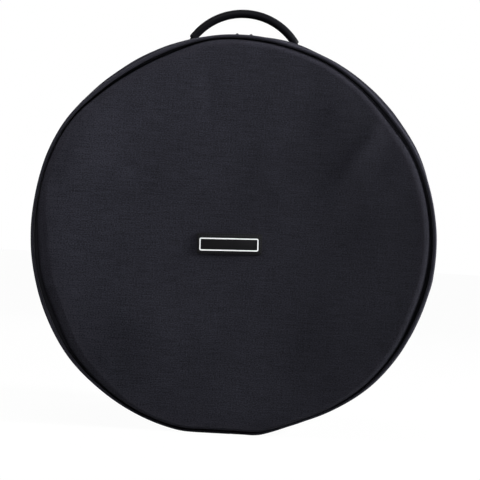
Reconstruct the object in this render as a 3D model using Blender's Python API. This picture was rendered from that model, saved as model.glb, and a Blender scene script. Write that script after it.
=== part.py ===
"""Padded floor tom bag, standing on its side wall with the carrying handle on top.

Metres, +Z up. The round lid faces -Y and the base panel faces +Y. The drum's axis runs
along Y at the height axis_height, and the middle of the flat patch that the bag rests on is
the origin. Every ring below is turned about the drum's axis from a profile of radius and y.
"""

import math

import bmesh
import bpy
from mathutils import Matrix, Vector

# The drum that the bag holds, and the room left around its hoops and lugs
drum_radius = 0.2032
drum_side_room = 0.0128
drum_depth = 0.4064
drum_end_room = 0.0090

# The layers of a padded wall, from the inside out
lining_thickness = 0.0008
foam_thickness = 0.0094
cover_thickness = 0.0012
seat_gap = 0.0003

# The zip and the place of its centre line, measured from the lid's piping
lid_depth = 0.0800
zip_channel_half = 0.0080
tape_thickness = 0.0007
tape_buried = 0.0100
tape_edge_gap = 0.0010
coil_width = 0.0029
coil_height = 0.0022
coil_bevel = 0.0008
coil_edge_gap = 0.0009
hinge_half_angle = math.radians(24.0)
tape_end_angle = math.radians(18.0)

# The corner seams
piping_radius = 0.0022
piping_flange_length = 0.0063
piping_flange_root = math.radians(160.0)
piping_height = 0.0066
seam_draw_in = 0.0010
seam_bulge_length = 0.0180
binding_width = 0.0080
binding_crown_share = 0.62

# The crown of the lid and the flat of the base: share of the edge radius, share of the rise
panel_edge_setback = 0.0050
panel_edge_height = 0.0089
lid_rise = 0.0049
lid_rise_shares = ((0.0, 1.0), (0.23, 1.0), (0.8, 0.78), (0.9, 0.6), (0.96, 0.3), (1.0, 0.0))
base_rise = 0.0030
base_rise_shares = ((0.0, 1.0), (0.84, 1.0), (0.95, 0.62), (1.0, 0.0))

# How far the bag's own weight presses its side wall flat on the floor
floor_press = 0.0050

# The badge
badge_length = 0.0720
badge_width = 0.0215
badge_thickness = 0.0020
badge_corner = 0.0028
badge_border = 0.0014
badge_recess = 0.0006
badge_across = -0.0030
badge_up = -0.0101
badge_turn = math.radians(1.4)

# The handle: a rubber grip moulded round a webbing strap, whose tails are sewn to two patches
handle_arc_radius = 0.0755
handle_top_height = 0.0440
grip_radius = 0.0049
grip_bore_radius = 0.0031
grip_half_angle = math.radians(58.0)
grip_end_round = 0.0014
strap_core_radius = 0.0027
strap_width = 0.0240
strap_thickness = 0.0018
strap_land_angle = math.radians(21.0)
strap_end_angle = math.radians(28.0)
patch_start_angle = math.radians(18.0)
patch_sweep_angle = math.radians(12.0)
patch_thickness = 0.0010
patch_width = 0.0360
backing_thickness = 0.0012
backing_width = 0.0440
backing_half_angle = math.radians(30.0)
strap_open_shares = ((0.3, 0.35), (0.6, 0.8), (0.85, 1.0))
look_ahead_share = 0.001

# The zip sliders and their pull tabs
slider_half_length = 0.0070
slider_half_width = 0.0055
slider_plate = 0.0012
slider_inner_plate = 0.0010
slider_inner_half_width = 0.0050
slider_web_half = 0.0005
slider_clearance = 0.0005
slider_corner = 0.0022
slider_park = 0.0080
bridge_half_width = 0.0018
tunnel_radius = 0.0013
tunnel_lift = 0.0014
bridge_wall = 0.0010
tab_thickness = 0.0014
tab_length = 0.0290
tab_half_width = 0.0042
tab_tip_half_width = 0.0034
tab_waist_share = 0.67
tab_corner = 0.0012
tab_arm_width = 0.0014
tab_arm_clearance = 0.0005
tab_bar = 0.0014
tab_window_length = 0.0062
tab_rest_tilt = math.radians(3.0)

# Counts of facets
ring_steps = 60
piping_sides = 6
grip_sides = 10
strap_sides = 8
arch_steps = 8
grip_steps = 16
strap_core_steps = 10
badge_corner_steps = 4
slider_corner_steps = 3

# One overrun serves every piece that is sunk into its neighbour before they are joined
sink = 0.0003

# Points nearer than this are one point, and edges that meet at more than this angle stay sharp
merge_gap = 0.00003
sharp_angle = math.radians(35.0)

step_angle = 2 * math.pi / ring_steps
inner_radius = drum_radius + drum_side_room
lining_outer = inner_radius + lining_thickness
foam_inner = lining_outer + seat_gap
foam_outer = foam_inner + foam_thickness
cover_inner = foam_outer + seat_gap
wall_radius = cover_inner + cover_thickness
axis_height = wall_radius - floor_press
inner_half = drum_depth / 2 + drum_end_room
piping_centre = wall_radius - piping_radius
piping_y = inner_half + piping_height
piping_flange_half = piping_radius * math.sin(piping_flange_root)
zip_y = lid_depth - piping_y
tape_outer = cover_inner - seat_gap
tape_inner = tape_outer - tape_thickness
coil_inner = tape_outer + seat_gap
coil_outer = coil_inner + coil_height
panel_edge_radius = wall_radius - panel_edge_setback
slider_top = coil_outer + slider_clearance + slider_plate
pin_radius = slider_top + tunnel_lift
slider_angle = slider_park / pin_radius
strap_radius = wall_radius + seat_gap + patch_thickness + seat_gap + strap_thickness / 2


def fabric_material(name, colour, roughness, metallic=0.0):
    """One Principled material in the photograph's colour."""
    made = bpy.data.materials.new(name)
    made.use_nodes = True
    shader = made.node_tree.nodes["Principled BSDF"]
    shader.inputs["Base Color"].default_value = (*colour, 1.0)
    shader.inputs["Roughness"].default_value = roughness
    shader.inputs["Metallic"].default_value = metallic
    made.diffuse_color = (*colour, 1.0)
    return made


def clear_scene():
    """Removes what the file opened with."""
    for held in list(bpy.data.objects):
        bpy.data.objects.remove(held, do_unlink=True)


def settle(shape):
    """Presses the bottom of a turned shape flat, by the same share at every radius."""
    pressed_share = (wall_radius - floor_press) / wall_radius
    for point in shape.verts:
        radius = math.hypot(point.co.x, point.co.z)
        if point.co.z < 0 and radius > 0:
            share = min(1.0, pressed_share * radius / -point.co.z)
            point.co.x *= share
            point.co.z *= share


def finish(name, shape, material, origin=None):
    """Makes a named object of a shape that lies about the drum's axis, and lifts it there."""
    bmesh.ops.translate(shape, verts=shape.verts, vec=(0, 0, axis_height))
    centre = Vector(origin) if origin else Vector((0, 0, 0))
    bmesh.ops.translate(shape, verts=shape.verts, vec=-centre)
    bmesh.ops.recalc_face_normals(shape, faces=shape.faces)
    mesh = bpy.data.meshes.new(name)
    shape.to_mesh(mesh)
    shape.free()
    mesh.shade_smooth()
    mesh.set_sharp_from_angle(angle=sharp_angle)
    mesh.materials.append(material)
    made = bpy.data.objects.new(name, mesh)
    made.location = centre
    bpy.context.scene.collection.objects.link(made)
    return made


def profile_edges(shape, profile, closed):
    """The edges of a profile of (radius, y), standing at the bottom of the bag."""
    points = [shape.verts.new((0, y, -radius)) for radius, y in profile]
    pairs = list(zip(points, points[1:]))
    if closed:
        pairs.append((points[-1], points[0]))
    return points + [shape.edges.new(pair) for pair in pairs]


def turned(profile, on_axis=False):
    """A closed ring, or a disc when its profile starts and ends on the drum's axis."""
    shape = bmesh.new()
    bmesh.ops.spin(
        shape, geom=profile_edges(shape, profile, not on_axis), cent=(0, 0, 0), axis=(0, 1, 0),
        dvec=(0, 0, 0), angle=2 * math.pi, steps=ring_steps, use_merge=True,
    )
    bmesh.ops.remove_doubles(shape, verts=shape.verts, dist=merge_gap)
    settle(shape)
    return shape


def turned_arc(profile, start, sweep):
    """Part of a ring, with flat ends. Start and sweep are angles up from the bottom."""
    shape = bmesh.new()
    bmesh.ops.spin(
        shape, geom=profile_edges(shape, profile, True), cent=(0, 0, 0), axis=(0, 1, 0),
        dvec=(0, 0, 0), angle=sweep, steps=round(sweep / step_angle), use_merge=False,
    )
    ends = [edge for edge in shape.edges if edge.is_boundary]
    bmesh.ops.holes_fill(shape, edges=ends, sides=len(profile))
    turn = Matrix.Rotation(start, 4, "Y")
    bmesh.ops.transform(shape, matrix=turn, verts=shape.verts)
    settle(shape)
    return shape


def rise_at(share, shares):
    """Reads a table of (radius share, rise share) between its points."""
    for (near, near_rise), (far, far_rise) in zip(shares, shares[1:]):
        if share <= far:
            return near_rise + (far_rise - near_rise) * (share - near) / (far - near)
    return shares[-1][1]


def panel_surface(shares, rise, reach, drop):
    """Points of the panel's outer surface out to the radius reach, lowered by drop."""
    edge_share = reach / panel_edge_radius
    kept = [share for share, _ in shares if share < edge_share] + [edge_share]
    height = inner_half + panel_edge_height - drop
    return [(share * panel_edge_radius, height + rise * rise_at(share, shares)) for share in kept]


def padded_panel(prefix, side, shares, rise, materials):
    """The cover, foam and lining of a round end panel. Side is -1 in front and 1 behind."""
    cover_top = panel_surface(shares, rise, panel_edge_radius, 0)
    cover_under = panel_surface(shares, rise, panel_edge_radius, cover_thickness)
    foam_top = panel_surface(shares, rise, foam_inner - seat_gap, cover_thickness + seat_gap)
    foam_base = inner_half + lining_thickness + seat_gap
    foam_under = [(foam_inner - seat_gap, foam_base), (0, foam_base)]
    lining_edge = inner_radius - seat_gap
    lining = [(0, inner_half + lining_thickness), (lining_edge, inner_half + lining_thickness)]
    lining += [(lining_edge, inner_half), (0, inner_half)]
    layers = (
        ("cover", cover_top + cover_under[::-1]),
        ("foam", foam_top + foam_under),
        ("lining", lining),
    )
    for layer, profile in layers:
        placed = [(radius, side * height) for radius, height in profile]
        finish(f"{prefix}_{layer}", turned(placed, on_axis=True), materials[layer])


def padded_wall(prefix, side, materials):
    """The cover, foam and lining of a side wall, from its corner seam to its hem by the zip."""
    seam = piping_y - piping_radius - seat_gap
    hem = zip_channel_half + side * zip_y
    bulge = seam - seam_bulge_length
    half_bulge = seam - seam_bulge_length / 2
    drawn = wall_radius - seam_draw_in
    part_drawn = wall_radius - seam_draw_in / 4
    cover = [(drawn, seam), (part_drawn, half_bulge), (wall_radius, bulge), (wall_radius, hem)]
    lined = cover[:1] + cover[2:]
    cover += [(radius - cover_thickness, place) for radius, place in lined[::-1]]
    foam_hem = hem + lining_thickness + seat_gap
    tape_reach = hem + tape_buried + seat_gap
    foam_seam = piping_y - piping_flange_half - seat_gap
    foam = [(foam_inner, foam_seam), (piping_centre - piping_radius - 2 * seat_gap, foam_seam)]
    foam += [(drawn - cover_thickness - seat_gap, seam - seat_gap), (foam_outer, bulge)]
    foam += [(foam_outer, tape_reach), (tape_inner - seat_gap, tape_reach)]
    foam += [(tape_inner - seat_gap, foam_hem), (foam_inner, foam_hem)]
    lining_end = inner_half + lining_thickness
    lining = [(inner_radius, lining_end), (lining_outer, lining_end)]
    lining += [(lining_outer, hem + lining_thickness)]
    lining += [(tape_inner - seat_gap, hem + lining_thickness)]
    lining += [(tape_inner - seat_gap, hem), (inner_radius, hem)]
    for layer, profile in (("cover", cover), ("foam", foam), ("lining", lining)):
        placed = [(radius, side * place) for radius, place in profile]
        finish(f"{prefix}_{layer}", turned(placed), materials[layer])


def piping(name, side, material):
    """The corded seam: a round cord with the flange that is sewn between panel and wall."""
    sweep = 2 * piping_flange_root
    angles = [piping_flange_root - sweep * k / piping_sides for k in range(piping_sides + 1)]
    profile = [
        (piping_centre + piping_radius * math.cos(a), piping_y + piping_radius * math.sin(a))
        for a in angles
    ]
    tip = piping_centre - piping_radius - piping_flange_length
    profile.append((tip, piping_y))
    placed = [(radius, side * place) for radius, place in profile]
    finish(name, turned(placed), material)


def binding(name, side, material):
    """The tape that binds the seam's raw edge in the inner corner."""
    corner_radius = inner_radius - seat_gap
    corner_y = inner_half - seat_gap
    crown = binding_width * binding_crown_share
    profile = [
        (corner_radius, corner_y),
        (corner_radius - binding_width, corner_y),
        (corner_radius - crown, corner_y - crown),
        (corner_radius, corner_y - binding_width),
    ]
    placed = [(radius, side * place) for radius, place in profile]
    finish(name, turned(placed), material)


def zip_half(prefix, side, tape_material, coil_material):
    """The tape and the coil row on one side of the zip's centre line, open over the hinge."""
    near = zip_y + side * tape_edge_gap
    far = zip_y + side * (zip_channel_half + tape_buried)
    tape = [(tape_inner, near), (tape_outer, near), (tape_outer, far), (tape_inner, far)]
    tape_sweep = 2 * math.pi - 2 * tape_end_angle
    finish(f"{prefix}_zip_tape", turned_arc(tape, tape_end_angle, tape_sweep), tape_material)
    near = zip_y + side * coil_edge_gap
    far = zip_y + side * (coil_edge_gap + coil_width)
    coil = [
        (coil_inner, near),
        (coil_outer, near),
        (coil_outer, far - side * coil_bevel),
        (coil_outer - coil_bevel, far),
        (coil_inner, far),
    ]
    coil_sweep = 2 * math.pi - 2 * hinge_half_angle
    finish(f"{prefix}_zip_coil", turned_arc(coil, hinge_half_angle, coil_sweep), coil_material)


def hinge_fabric(material):
    """The strip of cover that joins the lid to the body at the bottom, opposite the handle."""
    reach = zip_channel_half - seat_gap
    profile = [(cover_inner, zip_y - reach), (wall_radius, zip_y - reach)]
    profile += [(wall_radius, zip_y + reach), (cover_inner, zip_y + reach)]
    sweep = 2 * hinge_half_angle
    shape = turned_arc(profile, -hinge_half_angle, sweep)
    finish("hinge_fabric", shape, material, origin=(0, zip_y, 0))


def rounded_outline(shape, half_length, half_width, corner, height):
    """A rectangle with rounded corners, lying across X and Y at the given height."""
    narrowed = Matrix.Diagonal((1.0, half_width / half_length, 1.0, 1.0))
    place = Matrix.Translation((0, 0, height))
    made = bmesh.ops.create_grid(
        shape, x_segments=1, y_segments=1, size=half_length, matrix=place @ narrowed,
    )
    bmesh.ops.bevel(
        shape, geom=made["verts"], offset=corner, offset_type="OFFSET", affect="VERTICES",
        segments=badge_corner_steps, profile=0.5, material=-1,
    )
    return list(shape.faces)


def badge(material):
    """A rubber plate with a raised border, sewn on a little off level."""
    shape = bmesh.new()
    face = rounded_outline(shape, badge_length / 2, badge_width / 2, badge_corner, 0)
    raised = bmesh.ops.extrude_face_region(shape, geom=face)["geom"]
    points = [item for item in raised if isinstance(item, bmesh.types.BMVert)]
    top = [item for item in raised if isinstance(item, bmesh.types.BMFace)]
    bmesh.ops.translate(shape, verts=points, vec=(0, 0, badge_thickness))
    bmesh.ops.inset_region(
        shape, faces=top, use_even_offset=True, thickness=badge_border, depth=0,
    )
    bmesh.ops.inset_region(
        shape, faces=top, use_even_offset=True, thickness=badge_recess, depth=-badge_recess,
    )
    seat = inner_half + panel_edge_height + lid_rise + seat_gap
    upright = Matrix.Rotation(math.pi / 2, 4, "X")
    lean = Matrix.Rotation(-badge_turn, 4, "Y")
    place = Matrix.Translation((badge_across, -seat, badge_up))
    bmesh.ops.transform(shape, matrix=place @ lean @ upright, verts=shape.verts)
    finish("badge", shape, material)


def slider_frame(side):
    """The frame of a parked slider: X along the zip, away from the bag's top, Z outwards."""
    turn = Matrix.Rotation(side * slider_angle, 4, "Y")
    face = Matrix.Diagonal((side, side, 1.0, 1.0))
    return turn @ Matrix.Translation((0, zip_y, 0)) @ face


def bridge_arch(side, material):
    """The arch over the slider that the pull tab hangs in. It is joined to the slider."""
    shape = bmesh.new()
    outer = tunnel_radius + bridge_wall
    loops = []
    foot = slider_top - sink
    for radius in (outer, tunnel_radius):
        arc = [math.pi * k / arch_steps for k in range(arch_steps + 1)]
        points = [(radius * math.cos(a), pin_radius + radius * math.sin(a)) for a in arc]
        loops.append([(radius, foot)] + points + [(-radius, foot)])
    outline = loops[0] + loops[1][::-1]
    points = [shape.verts.new((x, -bridge_half_width, z)) for x, z in outline]
    face = shape.faces.new(points)
    raised = bmesh.ops.extrude_face_region(shape, geom=[face])["geom"]
    moved = [item for item in raised if isinstance(item, bmesh.types.BMVert)]
    bmesh.ops.translate(shape, verts=moved, vec=(0, 2 * bridge_half_width, 0))
    bmesh.ops.transform(shape, matrix=slider_frame(side), verts=shape.verts)
    name = "bridge_guide_left" if side < 0 else "bridge_guide_right"
    made = finish(name, shape, material)
    made.hide_render = True
    made.display_type = "WIRE"
    return made


def slider(name, side, material):
    """A zip slider: an outer and an inner plate on a web that runs between the two tapes."""
    outer_low = coil_outer + slider_clearance
    inner_high = tape_inner * math.cos(step_angle / 2) - slider_clearance / 2
    inner_low = inner_high - slider_inner_plate
    half = [
        (slider_half_width, slider_top),
        (slider_half_width, outer_low),
        (slider_web_half, outer_low),
        (slider_web_half, inner_high),
        (slider_inner_half_width, inner_high),
        (slider_inner_half_width, inner_low),
    ]
    outline = half + [(-y, z) for y, z in half[::-1]]
    shape = bmesh.new()
    points = [shape.verts.new((-slider_half_length, y, z)) for y, z in outline]
    face = shape.faces.new(points)
    raised = bmesh.ops.extrude_face_region(shape, geom=[face])["geom"]
    moved = [item for item in raised if isinstance(item, bmesh.types.BMVert)]
    bmesh.ops.translate(shape, verts=moved, vec=(2 * slider_half_length, 0, 0))
    corners = [
        edge for edge in shape.edges
        if abs(edge.verts[0].co.x - edge.verts[1].co.x) < merge_gap
        and abs(edge.verts[0].co.y - edge.verts[1].co.y) < merge_gap
        and abs(edge.verts[0].co.y) > slider_web_half + merge_gap
    ]
    bmesh.ops.bevel(
        shape, geom=corners, offset=slider_corner, offset_type="OFFSET", affect="EDGES",
        segments=slider_corner_steps, profile=0.5, material=-1,
    )
    bmesh.ops.transform(shape, matrix=slider_frame(side), verts=shape.verts)
    made = finish(name, shape, material, origin=(0, zip_y, axis_height))
    joined = made.modifiers.new("bridge", "BOOLEAN")
    joined.operation = "UNION"
    joined.solver = "EXACT"
    joined.object = bridge_arch(side, material)


def pull_tab(name, side, material):
    """A flat tab with a window: the bar at its root turns in the slider's bridge."""
    arm_inner = bridge_half_width + tab_arm_clearance
    arm_outer = max(arm_inner + tab_arm_width, tab_half_width)
    root = -tab_bar / 2
    outer = [
        (root, -arm_outer),
        (tab_length * tab_waist_share, -arm_outer),
        (tab_length - tab_corner, -tab_tip_half_width),
        (tab_length, -tab_tip_half_width + tab_corner),
        (tab_length, tab_tip_half_width - tab_corner),
        (tab_length - tab_corner, tab_tip_half_width),
        (tab_length * tab_waist_share, arm_outer),
        (root, arm_outer),
    ]
    window_end = tab_bar / 2 + tab_window_length
    window = [
        (tab_bar / 2, -arm_inner),
        (tab_bar / 2, arm_inner),
        (window_end, arm_inner),
        (window_end, -arm_inner),
    ]
    shape = bmesh.new()
    edges = []
    for outline in (outer, window):
        points = [shape.verts.new((x, y, pin_radius - tab_thickness / 2)) for x, y in outline]
        edges += [shape.edges.new(pair) for pair in zip(points, points[1:] + points[:1])]
    bmesh.ops.triangle_fill(shape, edges=edges, use_beauty=True)
    raised = bmesh.ops.extrude_face_region(shape, geom=list(shape.faces))["geom"]
    moved = [item for item in raised if isinstance(item, bmesh.types.BMVert)]
    bmesh.ops.translate(shape, verts=moved, vec=(0, 0, tab_thickness))
    pin = Vector((0, 0, pin_radius))
    tilt = Matrix.Translation(pin) @ Matrix.Rotation(tab_rest_tilt, 4, "Y") @ Matrix.Translation(-pin)
    bmesh.ops.transform(shape, matrix=slider_frame(side) @ tilt, verts=shape.verts)
    held = slider_frame(side) @ pin
    finish(name, shape, material, origin=(held.x, held.y, held.z + axis_height))


def station(shape, centre, along, half_across, half_thick, sides):
    """A cross-section ring of a bar that runs in the XZ plane, square to the direction along."""
    forward = Vector((along[0], 0, along[1])).normalized()
    across = Vector((0, 1, 0))
    out = forward.cross(across)
    frame = Matrix((across, out, forward)).transposed().to_4x4()
    place = Matrix.Translation((centre[0], 0, centre[1]))
    flattened = Matrix.Diagonal((1.0, half_thick / half_across, 1.0, 1.0))
    made = bmesh.ops.create_circle(
        shape, cap_ends=False, segments=sides, radius=half_across, matrix=place @ frame @ flattened,
    )
    points = made["verts"]
    return [edge for edge in shape.edges if edge.verts[0] in points and edge.verts[1] in points]


def lofted(shape, stations):
    """Joins rings of edges, one after another, into a tube that is open at both ends."""
    for near, far in zip(stations, stations[1:]):
        bmesh.ops.bridge_loops(shape, edges=near + far)


def grip_centre():
    """The height of the centre of the grip's arc above the drum's axis."""
    return wall_radius + handle_top_height - handle_arc_radius


def arc_point(angle):
    """A point of the grip's centre line and its direction, by the angle from the top."""
    place = (handle_arc_radius * math.sin(angle), grip_centre() + handle_arc_radius * math.cos(angle))
    return place, (math.cos(angle), -math.sin(angle))


def handle_grip(material):
    """The moulded grip: an arched round bar with a bore for the strap and softened ends."""
    shape = bmesh.new()
    inset = grip_end_round / handle_arc_radius
    half_span = grip_half_angle - inset
    angles = [-half_span + 2 * half_span * k / grip_steps for k in range(grip_steps + 1)]
    end_radius = grip_radius - grip_end_round / 2
    widths = [end_radius] + [grip_radius] * len(angles) + [end_radius]
    angles = [-grip_half_angle] + angles + [grip_half_angle]
    outer = []
    for angle, radius in zip(angles, widths):
        place, along = arc_point(angle)
        outer.append(station(shape, place, along, radius, radius, grip_sides))
    bore = []
    for angle in angles[:1] + angles[2:-2] + angles[-1:]:
        place, along = arc_point(angle)
        bore.append(station(shape, place, along, grip_bore_radius, grip_bore_radius, grip_sides))
    lofted(shape, outer)
    lofted(shape, bore)
    for end in (0, -1):
        bmesh.ops.triangle_fill(shape, edges=outer[end] + bore[end], use_beauty=True)
    finish("handle_grip", shape, material, origin=handle_axis())


def wall_point(angle, radius):
    """A point at a radius about the drum's axis, and the direction away from the bag's top."""
    return (radius * math.sin(angle), radius * math.cos(angle)), (math.cos(angle), -math.sin(angle))


def handle_axis():
    """The line that the handle swings about: where its strap bends up off the patches."""
    return (0, 0, axis_height + strap_radius * math.cos(strap_land_angle))


def half_strap():
    """Sections of the strap from the grip's top to the end of one tail.

    Each is a place, a direction, half the width and half the thickness. The strap is rolled
    round inside the grip, opens flat as it leaves it, and lies along the wall at its tail.
    """
    half_width = strap_width / 2
    half_thick = strap_thickness / 2
    core = strap_core_radius
    sections = []
    for k in range(strap_core_steps + 1):
        place, along = arc_point(grip_half_angle * k / strap_core_steps)
        sections.append((place, along, core, core))
    end, heading = arc_point(grip_half_angle)
    land, lying = wall_point(strap_land_angle, strap_radius)
    span = math.dist(end, land)
    for share, opened in strap_open_shares:
        place = hermite(end, heading, land, lying, span, share)
        ahead = hermite(end, heading, land, lying, span, share + look_ahead_share)
        along = (ahead[0] - place[0], ahead[1] - place[1])
        wide = core + (half_width - core) * opened
        thick = core + (half_thick - core) * opened
        sections.append((place, along, wide, thick))
    for angle in (strap_land_angle, (strap_land_angle + strap_end_angle) / 2, strap_end_angle):
        place, along = wall_point(angle, strap_radius)
        sections.append((place, along, half_width, half_thick))
    return sections


def hermite(start, start_way, end, end_way, span, share):
    """A point on the smooth bend between two places with given directions."""
    s2 = share * share
    s3 = s2 * share
    weights = (2 * s3 - 3 * s2 + 1, s3 - 2 * s2 + share, 3 * s2 - 2 * s3, s3 - s2)
    terms = (start, [w * span for w in start_way], end, [w * span for w in end_way])
    return tuple(sum(weight * term[i] for weight, term in zip(weights, terms)) for i in (0, 1))


def handle_strap(material):
    """The webbing inside the grip, whose two tails lie flat on the patches."""
    right = half_strap()
    left = [((-x, z), (-dx, dz), wide, thick) for (x, z), (dx, dz), wide, thick in right[1:]]
    back_way = [(place, (-dx, -dz), wide, thick) for place, (dx, dz), wide, thick in left[::-1]]
    shape = bmesh.new()
    loops = [
        station(shape, place, along, wide, thick, strap_sides)
        for place, along, wide, thick in back_way + right
    ]
    lofted(shape, loops)
    bmesh.ops.holes_fill(shape, edges=loops[0] + loops[-1], sides=strap_sides)
    finish("handle_strap", shape, material, origin=handle_axis())


def handle_patches(material):
    """The two patches that the strap's tails are sewn to, on the outside of the wall."""
    low = wall_radius + seat_gap
    high = low + patch_thickness
    half = patch_width / 2
    profile = [(low, -half), (high, -half), (high, half), (low, half)]
    top = math.pi
    starts = {
        "handle_patch_left": top - patch_start_angle - patch_sweep_angle,
        "handle_patch_right": top + patch_start_angle,
    }
    for name, start in starts.items():
        finish(name, turned_arc(profile, start, patch_sweep_angle), material)


def handle_backing(material):
    """The webbing inside the lining that spreads the handle's pull over the wall."""
    high = inner_radius - seat_gap
    low = high - backing_thickness
    half = backing_width / 2
    profile = [(low, -half), (high, -half), (high, half), (low, half)]
    shape = turned_arc(profile, math.pi - backing_half_angle, 2 * backing_half_angle)
    finish("handle_backing", shape, material)


def build():
    """Makes every piece of the bag."""
    clear_scene()
    cover = fabric_material("charcoal nylon", (0.022, 0.022, 0.028), 0.78)
    foam = fabric_material("grey foam", (0.09, 0.09, 0.095), 0.92)
    lining = fabric_material("black fleece", (0.012, 0.012, 0.014), 0.95)
    seam_cord = fabric_material("piping fabric", (0.018, 0.018, 0.023), 0.62)
    tape = fabric_material("zip tape", (0.010, 0.010, 0.012), 0.85)
    coil = fabric_material("zip coil", (0.014, 0.014, 0.016), 0.40)
    webbing = fabric_material("black webbing", (0.013, 0.013, 0.015), 0.70)
    rubber = fabric_material("black rubber", (0.020, 0.020, 0.021), 0.55)
    metal = fabric_material("black metal", (0.030, 0.030, 0.032), 0.35, 0.8)
    layers = {"cover": cover, "foam": foam, "lining": lining}
    padded_wall("body_wall", 1, layers)
    padded_panel("base", 1, base_rise_shares, base_rise, layers)
    piping("base_piping", 1, seam_cord)
    binding("base_binding", 1, webbing)
    zip_half("body", 1, tape, coil)
    padded_wall("lid_wall", -1, layers)
    padded_panel("lid", -1, lid_rise_shares, lid_rise, layers)
    piping("lid_piping", -1, seam_cord)
    binding("lid_binding", -1, webbing)
    zip_half("lid", -1, tape, coil)
    hinge_fabric(cover)
    badge(rubber)
    for side, name in ((-1, "left"), (1, "right")):
        slider(f"slider_{name}", side, metal)
        pull_tab(f"pull_tab_{name}", side, metal)
    handle_grip(rubber)
    handle_strap(webbing)
    handle_patches(cover)
    handle_backing(webbing)


build()
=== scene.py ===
import math

import bmesh
import bpy
from mathutils import Matrix, Vector, noise
from mathutils.bvhtree import BVHTree


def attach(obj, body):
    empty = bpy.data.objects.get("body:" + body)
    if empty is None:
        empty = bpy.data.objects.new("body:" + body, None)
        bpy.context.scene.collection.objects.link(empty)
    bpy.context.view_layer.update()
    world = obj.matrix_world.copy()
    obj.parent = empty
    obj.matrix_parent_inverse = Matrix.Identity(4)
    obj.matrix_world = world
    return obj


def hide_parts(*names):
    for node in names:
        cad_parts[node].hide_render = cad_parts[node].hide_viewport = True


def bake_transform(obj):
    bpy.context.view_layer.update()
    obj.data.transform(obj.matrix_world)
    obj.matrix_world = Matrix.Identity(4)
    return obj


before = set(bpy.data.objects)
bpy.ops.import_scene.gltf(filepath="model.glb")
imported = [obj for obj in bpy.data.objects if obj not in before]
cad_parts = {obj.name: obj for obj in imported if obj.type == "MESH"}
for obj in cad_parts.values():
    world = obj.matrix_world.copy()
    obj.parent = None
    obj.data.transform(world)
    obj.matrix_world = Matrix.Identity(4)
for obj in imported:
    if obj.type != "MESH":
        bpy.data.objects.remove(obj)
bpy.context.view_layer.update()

# A padded floor tom bag, with its lid towards the viewer and its carrying handle on top.
# Metres. Profiles are pairs of radius about the drum's axis and y. Angles round the bag run up
# from its right-hand side as the lid is seen, unless a function says otherwise. The patches and
# their stitches are first drawn flat, with X round the bag from its top, and then wrapped round it.

# Sizes shared with the frame
wall_radius = 0.2280
axis_height = 0.2230
inner_radius = 0.2160
lining_thickness = 0.0008
foam_thickness = 0.0094
cover_thickness = 0.0012
gap = 0.0003
inner_half = 0.2122
piping_radius = 0.0022
piping_y = 0.2188
zip_y = -0.1388
channel_half = 0.0080
hinge_half_angle = math.radians(24.0)
tape_end_angle = math.radians(18.0)
tape_thickness = 0.0007
panel_edge_height = 0.0089
binding_width = 0.0080

lining_outer = inner_radius + lining_thickness
foam_inner = lining_outer + gap
foam_outer = foam_inner + foam_thickness
cover_inner = foam_outer + gap
tape_outer = cover_inner - gap
tape_inner = tape_outer - tape_thickness
piping_centre = wall_radius - piping_radius
wall_seam = piping_y - piping_radius - gap
panel_seam_radius = piping_centre - piping_radius - gap
pressed_share = axis_height / wall_radius

# The grip: its arc sits a little lower and ends a little sooner than the frame's
handle_arc_radius = 0.0755
handle_arc_height = 0.1954
grip_half_angle = math.radians(56.5)
grip_radius = 0.0052
grip_bore = 0.0031
grip_taper = 0.0002
grip_end_round = 0.0011
grip_sides = 28
collar_length = 0.0075
collar_groove = 0.00022
collar_groove_reach = 0.0007

# The strap: rolled up inside the grip, and flat where its tails lie on the patches. It opens and
# thins over shares of the bend between them, and goes over from the body's motion to the handle's
# from strap_bend_low up to strap_bend_high.
strap_core = 0.0027
strap_half_width = 0.0120
strap_half_thick = 0.0009
strap_square = 0.35
strap_sides = 20
strap_opens = (0.05, 0.8)
strap_thins = (0.0, 0.6)
strap_look_ahead = 0.001
strap_land_angle = math.radians(21.0)
strap_end_angle = math.radians(28.0)
tail_box = (0.0090, 0.0095)
tail_box_angle = math.radians(25.0)

# The patches under the tails, and the webbing behind them inside the bag
patch_angle = math.radians(24.0)
patch_half_angle = math.radians(6.0)
patch_half_width = 0.0180
patch_corner = 0.0040
patch_thickness = 0.0010
patch_stitch_inset = 0.0025
patch_top = gap + patch_thickness
strap_seat = patch_top + gap
backing_half_angle = math.radians(30.0)
backing_half_width = 0.0220
backing_corner = 0.0030
backing_thickness = 0.0012

# The badge. Plate and field: half the length, half the width, the corner's radius, and from how low
# to how high it stands. The line round the field also has its width, ahead of these heights.
badge_plate_top = 0.0011
badge_plate = (0.0364, 0.0114, 0.0018, 0.0, badge_plate_top)
badge_field = (0.0341, 0.0087, 0.0022, 0.0010, 0.0016)
badge_frame = (0.0331, 0.0072, 0.0020, 0.0013, 0.0015, 0.0019)
badge_line_shift = (-0.0006, -0.0007, 0)
badge_seam = (0.0350, 0.0095)
badge_bevel = 0.0003
badge_edge_angle = 1.0
badge_lean = math.radians(-2.0)

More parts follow.
